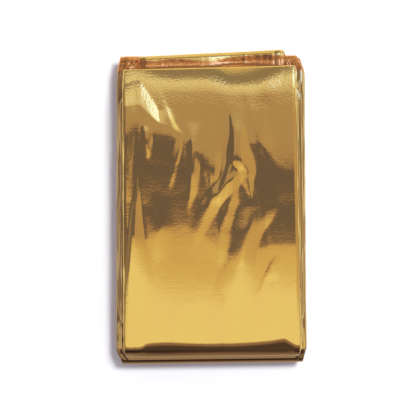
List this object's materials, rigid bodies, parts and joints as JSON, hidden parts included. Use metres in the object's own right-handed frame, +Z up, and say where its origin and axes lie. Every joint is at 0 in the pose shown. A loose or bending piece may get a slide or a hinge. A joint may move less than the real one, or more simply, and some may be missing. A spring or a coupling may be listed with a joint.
{
  "type": "folded emergency foil blanket",
  "caption": "Gold metallised film blanket, folded back and forth into a flat rectangular pack with rounded folds at its ends.",
  "frame": {"origin": "middle of the underside of the folded pack", "axes": "+X across the pack, +Y along its length to the end where the top layer stops short, +Z up through the folded layers"},
  "size_m": [0.0782, 0.13, 0.0175],
  "materials": {
    "gold_film": "thin polyester film, metallised with a mirror-like gold face and fine wrinkles"
  },
  "bodies": {
    "root": {"foil_blanket": "gold_film"}
  },
  "joints": []
}
